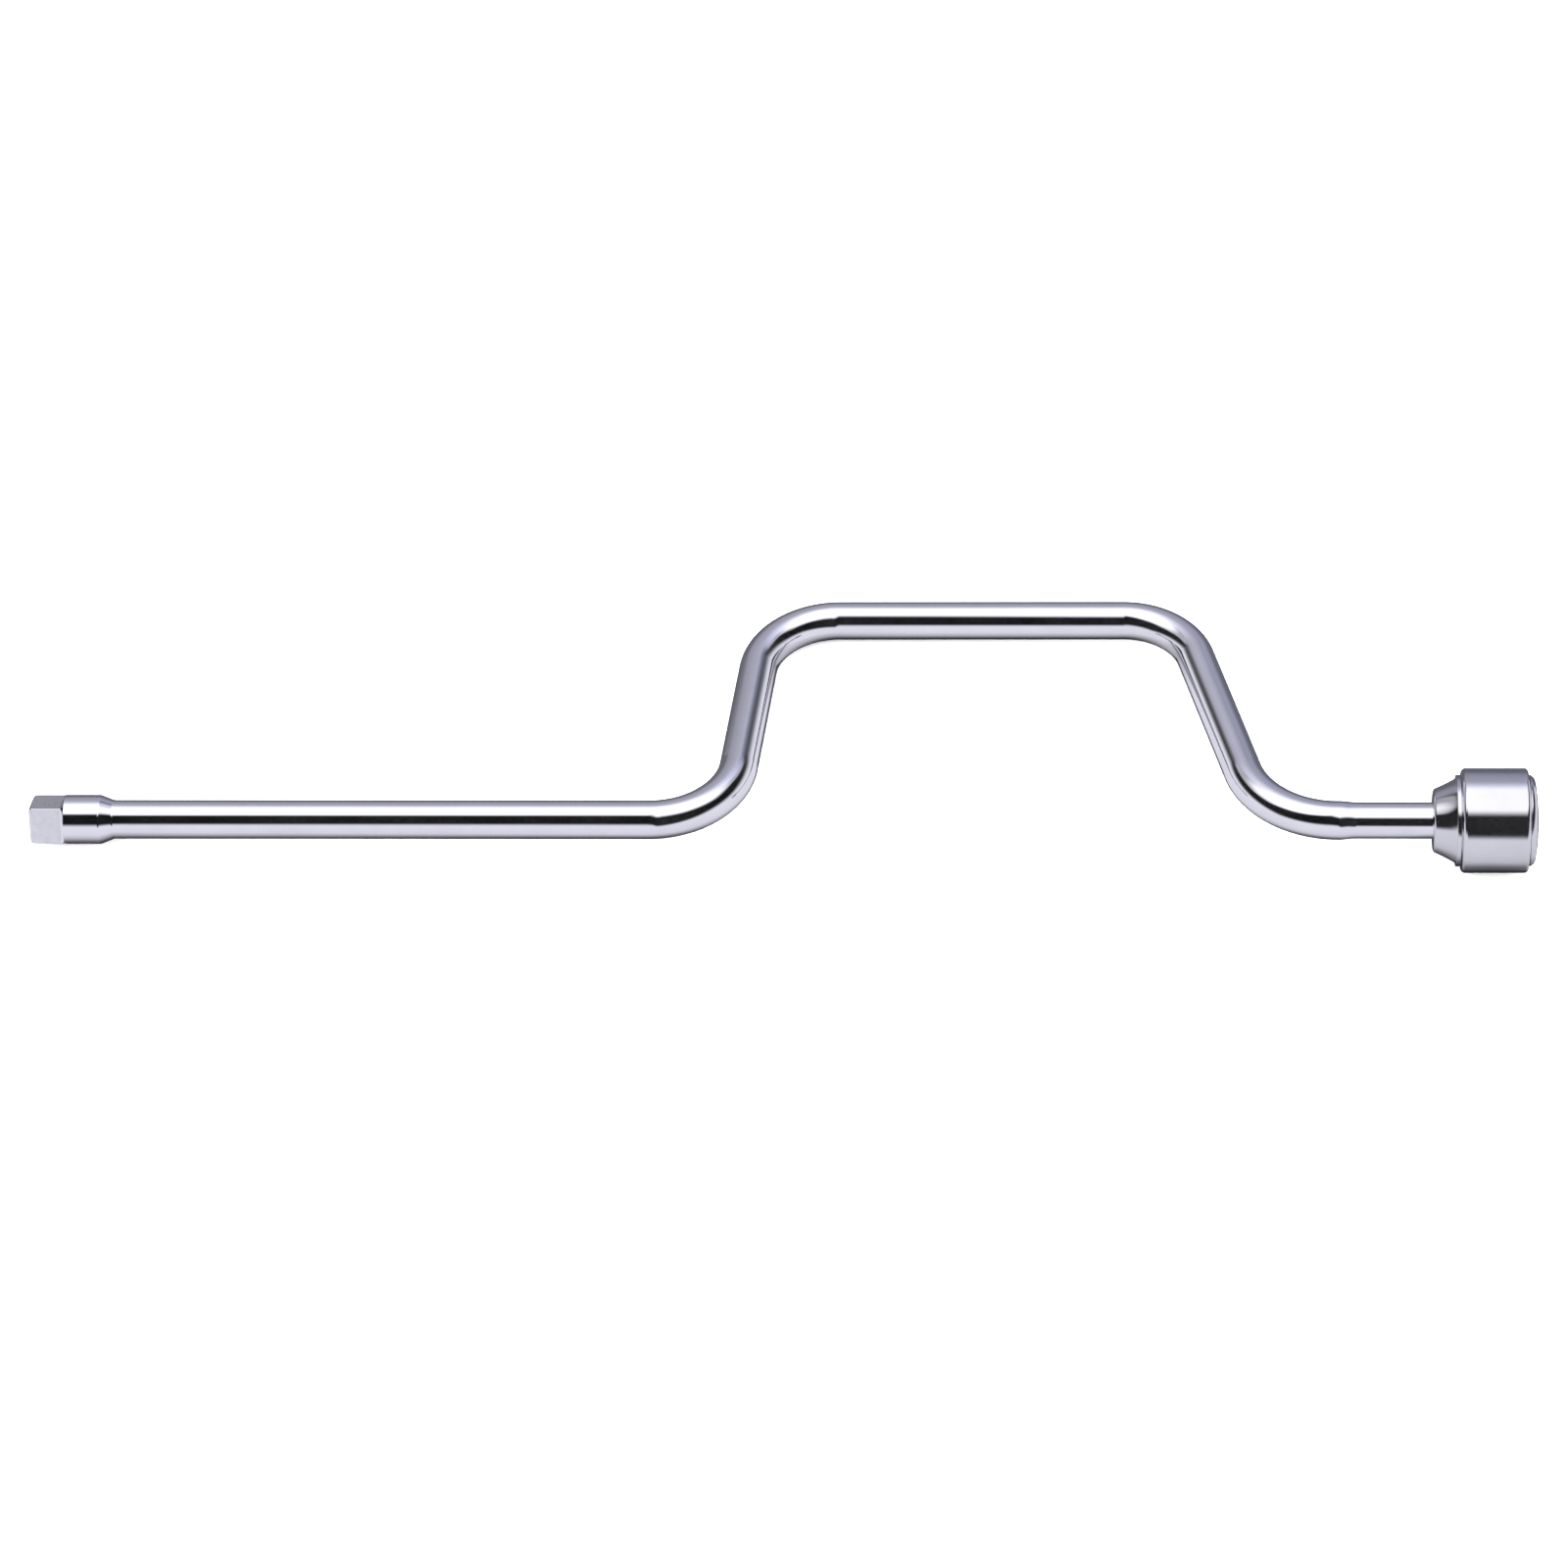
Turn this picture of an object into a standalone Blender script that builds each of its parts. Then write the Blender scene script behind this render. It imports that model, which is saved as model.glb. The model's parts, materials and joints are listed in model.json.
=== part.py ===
"""Speed brace with a half inch square drive, a bent crank and a free turning knob.

The tool is drawn in its own frame: +X from the drive's tip to the knob, the crank towards +Y. It is then
laid down as it rests on a table, on its collar, its crank and its knob. Lengths are in metres.
"""

from math import asin, atan, cos, hypot, inf, pi, radians, sin, sqrt, tan

import bmesh
import bpy
from mathutils import Matrix, Vector

# Whole tool; its stretches add up to 508.4 mm from tip to knob
crank_throw = 0.1016
fit_gap = 0.0003

# Square drive and collar
square_side = 0.0127
square_length = 0.0119
square_turn = radians(20.5)
square_corner_diameter = 0.0177
tip_chamfer = 0.0016
corner_taper_length = 0.0008
collar_diameter = 0.0167
collar_length = 0.0115
neck_length = 0.0046

# Bar, measured along its centre line between the sharp corners that its bends round off
shaft_diameter = 0.0132
shaft_length = 0.2367
grip_length = 0.1439
stub_length = 0.0567
left_leg_lean = radians(5.3)
right_leg_lean = radians(14.7)
shaft_bend_radius = 0.0295
left_grip_bend_radius = 0.0278
right_grip_bend_radius = 0.0258
stub_bend_radius = 0.0326
stub_diameter = 0.0124
stub_taper_length = 0.006

# Journal at the bar's end, inside the knob
journal_diameter = 0.010
clip_groove_diameter = 0.008
end_land_length = 0.0018
ball_pocket_depth = 0.0015

# Knob: the outside, from its front face to its end face
knob_length = 0.035
knob_diameter = 0.0352
nose_diameter = 0.0227
nose_round = 0.002
cone_length = 0.0076
cone_end_diameter = 0.0286
flange_diameter = 0.0308
flange_thickness = 0.0015
flange_round = 0.0004
shell_front_bevel = 0.0015
shell_rear_bevel = 0.0014
cap_lip_diameter = 0.0308
cap_lip_thickness = 0.0029
cap_lip_round = 0.0018
cap_face_diameter = 0.01
cap_crown = 0.0009

# Knob: the inside
ferrule_mouth_length = 0.0032
spigot_diameter = 0.025
spigot_length = 0.0065
web_thickness = 0.0072
bush_wall = 0.0022
front_bush_length = 0.008
bush_chamfer = 0.0003
washer_diameter = 0.020
washer_thickness = 0.001
clip_thickness = 0.0012
clip_outer_diameter = 0.016
clip_inner_diameter = 0.0124
clip_opening = radians(70)
clip_prong_angle = radians(32)
thrust_ball_diameter = 0.005
thrust_seat_diameter = 0.008
thrust_seat_thickness = 0.001
cap_skirt_diameter = 0.026
cap_skirt_wall = 0.0018
cap_skirt_length = 0.0043

# Detent in the flat that faces away from the user
detent_from_tip = 0.006
detent_ball_diameter = 0.005
detent_ball_stands_out = 0.0009
detent_hole_depth = 0.0094
detent_mouth_lip = 0.0003
detent_mouth_diameter = 0.0047
spring_wire_diameter = 0.0006
spring_coil_diameter = 0.004
spring_turns = 4

# Fineness of the round shapes
bar_sides = 32
knob_sides = 48
small_sides = 32
ball_sides = 20
ball_rings = 12
bend_steps = 10
round_steps = 4
settle_steps = 10
spring_points_per_turn = 10
sharp_angle = radians(35)
merge_distance = 0.000001
cut_overrun = 0.002

# Radii and places that follow from the sizes above
shaft_radius = shaft_diameter / 2
stub_radius = stub_diameter / 2
corner_radius = square_corner_diameter / 2
collar_radius = collar_diameter / 2
journal_radius = journal_diameter / 2
groove_radius = clip_groove_diameter / 2
bush_bore_radius = journal_radius + fit_gap
bush_outer_radius = bush_bore_radius + bush_wall
bush_seat_radius = bush_outer_radius + fit_gap
spigot_radius = spigot_diameter / 2
knob_radius = knob_diameter / 2
skirt_radius = cap_skirt_diameter / 2
thrust_ball_radius = thrust_ball_diameter / 2
thrust_seat_radius = thrust_seat_diameter / 2
detent_ball_radius = detent_ball_diameter / 2
wire_radius = spring_wire_diameter / 2
coil_radius = spring_coil_diameter / 2

left_turn = pi / 2 - left_leg_lean
right_turn = pi / 2 - right_leg_lean
second_corner = shaft_length + crank_throw * tan(left_leg_lean)
third_corner = second_corner + grip_length
fourth_corner = third_corner + crank_throw * tan(right_leg_lean)
shaft_bend_run = shaft_bend_radius * tan(left_turn / 2)
left_grip_bend_run = left_grip_bend_radius * tan(left_turn / 2)
right_grip_bend_run = right_grip_bend_radius * tan(right_turn / 2)
stub_bend_run = stub_bend_radius * tan(right_turn / 2)
neck_end = square_length + collar_length + neck_length
stub_start = fourth_corner + stub_bend_run

knob_front = fourth_corner + stub_length
knob_end = knob_front + knob_length
shoulder_at = knob_front + ferrule_mouth_length
flange_front = knob_front + cone_length
flange_back = flange_front + flange_thickness
shell_front = flange_back + fit_gap
spigot_end = flange_back + spigot_length
web_front = spigot_end + fit_gap
web_back = web_front + web_thickness
washer_front = web_back + fit_gap
clip_front = washer_front + washer_thickness + fit_gap
groove_front = clip_front - fit_gap
groove_back = clip_front + clip_thickness + fit_gap
bar_end = groove_back + end_land_length
thrust_ball_at = bar_end - ball_pocket_depth + fit_gap + thrust_ball_radius
thrust_seat_front = thrust_ball_at + thrust_ball_radius + fit_gap
cap_front = knob_end - cap_lip_thickness
shell_back = cap_front - fit_gap
seat_pocket_bottom = thrust_seat_front + thrust_seat_thickness + fit_gap

flat_from_axis = square_side / 2
ball_below_flat = detent_ball_radius - detent_ball_stands_out
detent_normal = Vector((0, cos(square_turn), -sin(square_turn)))
detent_ball_place = Vector((detent_from_tip, 0, 0)) + detent_normal * (flat_from_axis - ball_below_flat)


def make_material(name, color, roughness, metallic):
    """A Principled material with the colour and finish of one sort of metal."""
    material = bpy.data.materials.new(name)
    material.use_nodes = True
    shader = material.node_tree.nodes["Principled BSDF"]
    shader.inputs["Base Color"].default_value = (*color, 1)
    shader.inputs["Roughness"].default_value = roughness
    shader.inputs["Metallic"].default_value = metallic
    return material


def add_object(name, bm, material, parent, place):
    """Turn a finished bmesh into a named object, smooth where it is round."""
    bmesh.ops.remove_doubles(bm, verts=bm.verts[:], dist=merge_distance)
    bmesh.ops.recalc_face_normals(bm, faces=bm.faces[:])
    mesh = bpy.data.meshes.new(name)
    bm.to_mesh(mesh)
    bm.free()
    mesh.shade_smooth()
    mesh.set_sharp_from_angle(angle=sharp_angle)
    mesh.materials.append(material)
    made = bpy.data.objects.new(name, mesh)
    bpy.context.collection.objects.link(made)
    made.parent = parent
    made.location = place
    return made


def add_empty(name, parent, place):
    """A bare frame that carries pieces; a joint's frame lies on that joint's axis."""
    empty = bpy.data.objects.new(name, None)
    bpy.context.collection.objects.link(empty)
    empty.parent = parent
    empty.location = place
    return empty


def arc(centre_x, centre_r, radius, start, end):
    """Points of a round on a turned outline, with the angle counted from +X towards the outside."""
    points = []
    for step in range(round_steps + 1):
        angle = start + (end - start) * step / round_steps
        points.append((centre_x + radius * cos(angle), centre_r + radius * sin(angle)))
    return points


def turned(name, outline, sides, material, parent, start):
    """Spin a closed outline of (distance along the tool, radius) points round the tool's axis.

    The object's origin lies on that axis at start. Points of radius zero close on the axis.
    """
    bm = bmesh.new()
    verts = [bm.verts.new((along - start, 0, radius)) for along, radius in outline]
    edges = [bm.edges.new((verts[i - 1], verts[i])) for i in range(len(verts))]
    on_axis = [edge for edge in edges if all(vert.co.z == 0 for vert in edge.verts)]
    for edge in on_axis:
        bm.edges.remove(edge)
    profile = bm.verts[:] + bm.edges[:]
    bmesh.ops.spin(bm, geom=profile, cent=(0, 0, 0), axis=(1, 0, 0), angle=2 * pi, steps=sides)
    return add_object(name, bm, material, parent, (start - parent_along(parent), 0, 0))


def parent_along(parent):
    """How far along the tool a parent frame stands."""
    return parent["along"] if "along" in parent else 0


def add_ball(name, diameter, material, parent, place):
    """A ball with its centre at its origin."""
    bm = bmesh.new()
    bmesh.ops.create_uvsphere(bm, u_segments=ball_sides, v_segments=ball_rings, radius=diameter / 2)
    return add_object(name, bm, material, parent, place)


class Ring:
    """The open end of a bar that is drawn out step by step from one circle."""

    def __init__(self, radius, sides):
        self.bm = bmesh.new()
        self.centre = Vector((0, 0, 0))
        self.heading = Vector((1, 0, 0))
        self.radius = radius
        facing = Matrix.Rotation(pi / 2, 4, "Y")
        made = bmesh.ops.create_circle(self.bm, segments=sides, radius=radius, matrix=facing)
        self.verts = made["verts"]
        self.edges = self.bm.edges[:]
        self.close()

    def close(self):
        """Fill the ring, for the bar's first or last face."""
        bmesh.ops.contextual_create(self.bm, geom=self.edges)

    def take_end(self, geometry):
        """Keep the newest verts and edges as the open end."""
        self.verts = [item for item in geometry if isinstance(item, bmesh.types.BMVert)]
        end = set(self.verts)
        self.edges = [
            item
            for item in geometry
            if isinstance(item, bmesh.types.BMEdge) and end.issuperset(item.verts)
        ]

    def draw(self, distance, radius):
        """Extrude the end straight on by distance, to a new radius."""
        made = bmesh.ops.extrude_edge_only(self.bm, edges=self.edges)
        self.take_end(made["geom"])
        move = self.heading * distance
        bmesh.ops.translate(self.bm, verts=self.verts, vec=move)
        self.centre = self.centre + move
        size = radius / self.radius
        about = Matrix.Translation(-self.centre)
        bmesh.ops.scale(self.bm, verts=self.verts, vec=(size, size, size), space=about)
        self.radius = radius

    def bend(self, bend_radius, turn):
        """Spin the end round a bend in the crank's plane; a positive turn is to the left."""
        side = 1 if turn > 0 else -1
        to_left = Vector((-self.heading.y, self.heading.x, 0))
        pivot = self.centre + to_left * bend_radius * side
        made = bmesh.ops.spin(
            self.bm,
            geom=self.verts + self.edges,
            cent=pivot,
            axis=(0, 0, 1),
            angle=turn,
            steps=bend_steps,
        )
        self.take_end(made["geom_last"])
        turned_by = Matrix.Rotation(turn, 3, "Z")
        self.centre = pivot + turned_by @ (self.centre - pivot)
        self.heading = turned_by @ self.heading


def crank_bar(parent, material):
    """The forged bar: turned tip and collar, four bends, and the journal for the knob."""
    bar = Ring(corner_radius - tip_chamfer, bar_sides)
    bar.draw(tip_chamfer, corner_radius)
    bar.draw(square_length - tip_chamfer - corner_taper_length, corner_radius)
    bar.draw(corner_taper_length, collar_radius)
    bar.draw(collar_length, collar_radius)
    bar.draw(neck_length, shaft_radius)
    bar.draw(shaft_length - shaft_bend_run - neck_end, shaft_radius)
    bar.bend(shaft_bend_radius, left_turn)
    bar.draw(crank_throw / cos(left_leg_lean) - shaft_bend_run - left_grip_bend_run, shaft_radius)
    bar.bend(left_grip_bend_radius, -left_turn)
    bar.draw(grip_length - left_grip_bend_run - right_grip_bend_run, shaft_radius)
    bar.bend(right_grip_bend_radius, -right_turn)
    bar.draw(crank_throw / cos(right_leg_lean) - right_grip_bend_run - stub_bend_run, shaft_radius)
    bar.bend(stub_bend_radius, right_turn)
    bar.draw(stub_taper_length, stub_radius)
    bar.draw(shoulder_at - stub_start - stub_taper_length, stub_radius)
    bar.draw(0, journal_radius)
    bar.draw(groove_front - shoulder_at, journal_radius)
    bar.draw(0, groove_radius)
    bar.draw(groove_back - groove_front, groove_radius)
    bar.draw(0, journal_radius)
    bar.draw(end_land_length, journal_radius)
    bar.draw(0, thrust_ball_radius + fit_gap)
    bar.draw(-ball_pocket_depth, thrust_ball_radius + fit_gap)
    bar.close()
    made = add_object("crank_bar", bar.bm, material, parent, (0, 0, 0))
    for cutter in (flats_cutter(parent), detent_cutter(parent)):
        cut = made.modifiers.new(cutter.name, "BOOLEAN")
        cut.operation = "DIFFERENCE"
        cut.solver = "EXACT"
        cut.object = cutter
    return made


def as_cutter(cutter):
    """Mark a solid that only cuts others."""
    cutter.hide_render = True
    cutter.display_type = "WIRE"
    return cutter


def flats_cutter(parent):
    """A square sleeve over the tip: what lies in its wall is milled away and leaves four flats."""
    reach = corner_radius + cut_overrun
    bm = bmesh.new()
    loops = []
    for half in (flat_from_axis, reach):
        for along in (-cut_overrun, square_length):
            corners = [(-half, -half), (half, -half), (half, half), (-half, half)]
            loops.append([bm.verts.new((along, y, z)) for y, z in corners])
    inner_front, inner_back, outer_front, outer_back = loops
    for near, far in (
        (inner_front, inner_back),
        (outer_back, outer_front),
        (outer_front, inner_front),
        (inner_back, outer_back),
    ):
        for i in range(len(near)):
            bm.faces.new((near[i - 1], near[i], far[i], far[i - 1]))
    cutter = add_object("flats_cutter", bm, steel_in_work(), parent, (0, 0, 0))
    cutter.rotation_euler.x = -square_turn
    return as_cutter(cutter)


def detent_cutter(parent):
    """The blind hole for ball and spring, narrower at its mouth where the edge is staked over the ball."""
    hole_radius = detent_ball_radius + fit_gap
    mouth_radius = detent_mouth_diameter / 2
    outline = [
        (-cut_overrun, 0),
        (-cut_overrun, mouth_radius),
        (detent_mouth_lip, mouth_radius),
        (detent_mouth_lip, hole_radius),
        (detent_hole_depth, hole_radius),
        (detent_hole_depth, 0),
    ]
    cutter = turned("detent_cutter", outline, small_sides, steel_in_work(), parent, 0)
    cutter.location = Vector((detent_from_tip, 0, 0)) + detent_normal * flat_from_axis
    cutter.rotation_mode = "QUATERNION"
    cutter.rotation_quaternion = Vector((1, 0, 0)).rotation_difference(-detent_normal)
    return as_cutter(cutter)


def steel_in_work():
    """The cutters' own plain material."""
    found = bpy.data.materials.get("cutter")
    return found or make_material("cutter", (0.5, 0.5, 0.5), 0.5, 1)


def detent_spring(parent, material):
    """An unbroken coil from the bottom of the hole to a seat round the ball."""
    reach = detent_ball_radius + wire_radius + fit_gap
    top = ball_below_flat + sqrt(reach**2 - coil_radius**2)
    bottom = detent_hole_depth - wire_radius - fit_gap
    count = spring_turns * spring_points_per_turn
    curve = bpy.data.curves.new("detent_spring", "CURVE")
    curve.dimensions = "3D"
    curve.bevel_depth = wire_radius
    curve.bevel_resolution = 1
    curve.use_fill_caps = True
    curve.materials.append(material)
    coil = curve.splines.new("POLY")
    coil.points.add(count)
    for step in range(count + 1):
        angle = 2 * pi * step / spring_points_per_turn
        depth = top + (bottom - top) * step / count
        coil.points[step].co = (depth - ball_below_flat, coil_radius * cos(angle), coil_radius * sin(angle), 1)
    made = bpy.data.objects.new("detent_spring", curve)
    bpy.context.collection.objects.link(made)
    made.parent = parent
    print("detent_spring: least gap between turns", (bottom - top) / spring_turns - spring_wire_diameter)
    return made


def front_ferrule(parent, material):
    """The knob's nose: rounded front, cone, flange, and a spigot that is pressed into the shell."""
    nose_radius = nose_diameter / 2
    flange_radius = flange_diameter / 2
    mouth_radius = stub_radius + fit_gap
    outline = [(knob_front, mouth_radius)]
    outline += arc(knob_front + nose_round, nose_radius - nose_round, nose_round, pi, pi / 2)
    outline += [(flange_front, cone_end_diameter / 2)]
    outline += arc(flange_front + flange_round, flange_radius - flange_round, flange_round, pi, pi / 2)
    outline += [(flange_back, flange_radius), (flange_back, spigot_radius), (spigot_end, spigot_radius)]
    outline += [(spigot_end, bush_seat_radius), (shoulder_at, bush_seat_radius), (shoulder_at, mouth_radius)]
    return turned("front_ferrule", outline, knob_sides, material, parent, knob_front)


def knob_shell(parent, material):
    """The knob's straight body, bored from both ends and left with a web that holds the rear bush."""
    front_bore = spigot_radius + fit_gap
    rear_bore = skirt_radius + fit_gap
    outline = [
        (shell_front, front_bore),
        (shell_front, knob_radius - shell_front_bevel),
        (shell_front + shell_front_bevel, knob_radius),
        (shell_back - shell_rear_bevel, knob_radius),
        (shell_back, knob_radius - shell_rear_bevel),
        (shell_back, rear_bore),
        (web_back, rear_bore),
        (web_back, bush_seat_radius),
        (web_front, bush_seat_radius),
        (web_front, front_bore),
    ]
    return turned("knob_shell", outline, knob_sides, material, parent, shell_front)


def bush(name, start, length, parent, material):
    """A plain bush round the journal, chamfered at its ends."""
    end = start + length
    outline = [
        (start, bush_bore_radius),
        (start, bush_outer_radius - bush_chamfer),
        (start + bush_chamfer, bush_outer_radius),
        (end - bush_chamfer, bush_outer_radius),
        (end, bush_outer_radius - bush_chamfer),
        (end, bush_bore_radius),
    ]
    return turned(name, outline, small_sides, material, parent, start)


def end_cap(parent, material):
    """The cap: a skirt inside the shell, a rounded lip, a crowned face with a flat middle, and a pocket."""
    lip_radius = cap_lip_diameter / 2
    pocket_radius = thrust_seat_radius + fit_gap
    skirt_front = cap_front - cap_skirt_length
    outline = [(seat_pocket_bottom, 0), (seat_pocket_bottom, pocket_radius), (cap_front, pocket_radius)]
    outline += [(cap_front, skirt_radius - cap_skirt_wall), (skirt_front, skirt_radius - cap_skirt_wall)]
    outline += [(skirt_front, skirt_radius), (cap_front, skirt_radius), (cap_front, lip_radius)]
    round_centre = knob_end - cap_crown - cap_lip_round
    outline += arc(round_centre, lip_radius - cap_lip_round, cap_lip_round, pi / 2, 0)
    outline += [(knob_end, cap_face_diameter / 2), (knob_end, 0)]
    return turned("end_cap", outline, knob_sides, material, parent, cap_front)


def plain_ring(name, start, thickness, inner, outer, parent, material):
    """A flat washer, or a disc where the inner radius is zero."""
    outline = [(start, inner), (start, outer), (start + thickness, outer), (start + thickness, inner)]
    return turned(name, outline, small_sides, material, parent, start)


def retaining_clip(parent, material):
    """An E-shaped clip: an open ring whose three prongs grip the bottom of the groove."""
    outer = clip_outer_diameter / 2
    inner = clip_inner_diameter / 2
    prong = groove_radius + fit_gap
    first = clip_opening / 2
    last = 2 * pi - first
    sections = [
        (last, last - clip_prong_angle, prong),
        (last - clip_prong_angle, pi + clip_prong_angle / 2, inner),
        (pi + clip_prong_angle / 2, pi - clip_prong_angle / 2, prong),
        (pi - clip_prong_angle / 2, first + clip_prong_angle, inner),
        (first + clip_prong_angle, first, prong),
    ]
    polar = [(first, last, outer, small_sides)]
    for start, end, radius in sections:
        polar.append((start, end, radius, round_steps))
    bm = bmesh.new()
    rim = []
    for start, end, radius, steps in polar:
        for step in range(steps + 1):
            angle = start + (end - start) * step / steps
            rim.append(bm.verts.new((0, radius * cos(angle), radius * sin(angle))))
    face = bm.faces.new(rim)
    made = bmesh.ops.extrude_face_region(bm, geom=[face])
    moved = [item for item in made["geom"] if isinstance(item, bmesh.types.BMVert)]
    bmesh.ops.translate(bm, verts=moved, vec=(clip_thickness, 0, 0))
    return add_object("retaining_clip", bm, material, parent, (clip_front, 0, 0))


def stand_on(drop, along, knob_contact):
    """How high the tip's middle is, and the tilt, when a place this far below the axis is on the table."""
    pitch = atan((knob_radius - drop) / (knob_contact - along))
    return drop * cos(pitch) - sin(pitch) * along, pitch


def lay_down(brace):
    """Tilt the tool onto its three contacts: a corner of the square or the collar, the crank's bend, the knob."""
    knob_contact = shell_front + shell_front_bevel
    bend_x = second_corner + left_grip_bend_run
    bend_y = crank_throw - left_grip_bend_radius
    roll = 0
    for _ in range(settle_steps):
        corner_drop = corner_radius * cos(pi / 4 - square_turn - roll)
        axis_height, pitch = max(
            stand_on(corner_drop, tip_chamfer, knob_contact), stand_on(collar_radius, square_length, knob_contact)
        )
        slope = hypot(sin(pitch), cos(pitch) * sin(roll))
        drop = sin(pitch) * bend_x + axis_height - shaft_radius - left_grip_bend_radius * slope
        roll = asin(drop / (bend_y * cos(pitch)))
    brace.rotation_euler = (-roll, -pitch, 0)


def centre_on_table(brace):
    """Put the middle of the tool's base at the world's origin."""
    bpy.context.view_layer.update()
    graph = bpy.context.evaluated_depsgraph_get()
    low = Vector((inf, inf, inf))
    high = -low
    for item in bpy.context.scene.objects:
        if item.type not in {"MESH", "CURVE"} or item.hide_render:
            continue
        seen = item.evaluated_get(graph)
        mesh = seen.to_mesh()
        for vert in mesh.vertices:
            place = seen.matrix_world @ vert.co
            low = Vector(map(min, low, place))
            high = Vector(map(max, high, place))
        seen.to_mesh_clear()
    brace.location = (-(low.x + high.x) / 2, -(low.y + high.y) / 2, -low.z)


def build():
    """Clear the file and build every piece."""
    for item in list(bpy.data.objects):
        bpy.data.objects.remove(item, do_unlink=True)
    chrome = make_material("chrome", (0.80, 0.80, 0.83), 0.08, 1)
    steel = make_material("bright_steel", (0.62, 0.62, 0.64), 0.25, 1)
    spring_steel = make_material("spring_steel", (0.22, 0.22, 0.24), 0.35, 1)
    bronze = make_material("bronze", (0.62, 0.42, 0.22), 0.35, 1)

    brace = add_empty("brace", None, (0, 0, 0))
    crank_bar(brace, chrome)

    inward = add_empty("detent_slide", brace, detent_ball_place)
    inward.rotation_mode = "QUATERNION"
    inward.rotation_quaternion = Vector((1, 0, 0)).rotation_difference(-detent_normal)
    add_ball("detent_ball", detent_ball_diameter, steel, inward, (0, 0, 0))
    detent_spring(inward, spring_steel)

    plain_ring(
        "retaining_washer", washer_front, washer_thickness, bush_bore_radius, washer_diameter / 2, brace, steel
    )
    retaining_clip(brace, spring_steel)
    add_ball("thrust_ball", thrust_ball_diameter, steel, brace, (thrust_ball_at, 0, 0))

    knob = add_empty("knob_spin", brace, (knob_front, 0, 0))
    knob["along"] = knob_front
    front_ferrule(knob, chrome)
    knob_shell(knob, chrome)
    bush("front_bush", shoulder_at + fit_gap, front_bush_length, knob, bronze)
    bush("rear_bush", web_front + fit_gap, web_thickness - fit_gap, knob, bronze)
    end_cap(knob, chrome)
    plain_ring("thrust_seat", thrust_seat_front, thrust_seat_thickness, 0, thrust_seat_radius, knob, steel)

    lay_down(brace)
    centre_on_table(brace)


build()
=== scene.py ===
# %% [markdown]
# A speed brace is a crank for sockets: a square drive at one end, a bent bar that the hand swings round, and
# a palm knob that turns freely at the other end. The solid parts come in as a fixed frame that already has
# the right sizes. This script makes their fine surfaces over that frame, gives each metal its finish, and
# sets up a plain studio. Nothing of the frame is moved.

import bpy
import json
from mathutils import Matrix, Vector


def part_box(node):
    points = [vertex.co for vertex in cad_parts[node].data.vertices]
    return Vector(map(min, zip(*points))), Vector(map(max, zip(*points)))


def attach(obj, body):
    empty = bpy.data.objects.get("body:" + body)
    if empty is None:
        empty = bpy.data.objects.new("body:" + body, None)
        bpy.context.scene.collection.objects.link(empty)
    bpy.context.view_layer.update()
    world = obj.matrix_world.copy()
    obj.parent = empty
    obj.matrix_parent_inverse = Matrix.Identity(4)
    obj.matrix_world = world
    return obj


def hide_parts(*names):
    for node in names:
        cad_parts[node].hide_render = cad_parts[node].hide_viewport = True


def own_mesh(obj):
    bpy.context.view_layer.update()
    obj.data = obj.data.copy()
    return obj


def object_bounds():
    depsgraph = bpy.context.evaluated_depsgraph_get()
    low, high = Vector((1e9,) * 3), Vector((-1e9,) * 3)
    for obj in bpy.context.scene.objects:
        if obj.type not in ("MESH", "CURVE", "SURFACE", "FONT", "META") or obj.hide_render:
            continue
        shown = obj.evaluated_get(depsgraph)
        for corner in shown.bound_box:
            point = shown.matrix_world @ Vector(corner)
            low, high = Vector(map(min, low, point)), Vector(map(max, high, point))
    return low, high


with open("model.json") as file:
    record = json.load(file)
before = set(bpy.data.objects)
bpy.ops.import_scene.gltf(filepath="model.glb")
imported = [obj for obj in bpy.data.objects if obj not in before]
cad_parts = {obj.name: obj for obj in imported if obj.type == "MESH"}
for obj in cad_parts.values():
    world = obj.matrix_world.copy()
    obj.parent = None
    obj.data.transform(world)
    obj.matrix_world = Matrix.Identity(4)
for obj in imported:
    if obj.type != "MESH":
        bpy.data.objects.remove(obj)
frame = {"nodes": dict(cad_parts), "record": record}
cad_low, cad_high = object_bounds()
print("frame box in mm", [round(1000 * size, 1) for size in cad_high - cad_low])

# %% Tools of the script
import json
from math import atan, cos, hypot, pi, radians, sin, tan

import bmesh
import bpy
import numpy as np
from mathutils import Matrix, Vector

# %% [markdown]
# The tool is easiest to draw lying along its own axis: +X from the drive's tip to the knob, with the crank
# towards +Y. On the table it lies a little tilted, so each piece is drawn in the tool's frame and then laid
# down with one matrix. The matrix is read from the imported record: the drive's tip gives the origin, the
# outward normals of the tip and of two flats give the directions.

# %% The tool's own frame, from the record
mounts = {mount["name"]: mount for mount in frame["record"]["mounts"]}
square_turn = radians(20.5)
tip_place = Vector(mounts["drive_tip"]["pos_m"])
tool_axis = -Vector(mounts["drive_tip"]["axis"]).normalized()
detent_normal = Vector(mounts["drive_flat_detent"]["axis"]).normalized()
top_normal = Vector(mounts["drive_flat_top"]["axis"]).normalized()
crank_side = (detent_normal * cos(square_turn) + top_normal * sin(square_turn)).normalized()
crank_face = tool_axis.cross(crank_side).normalized()
lay_down = Matrix((tool_axis, crank_side, crank_face)).transposed().to_4x4()
lay_down.translation = tip_place
print("tool axis", tuple(round(value, 4) for value in tool_axis))

# %% [markdown]
# The sizes are the real ones in metres, and the same that the solids of the frame have. Each has a name, so
# that a size is changed in one place and all that depends on it follows.

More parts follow.
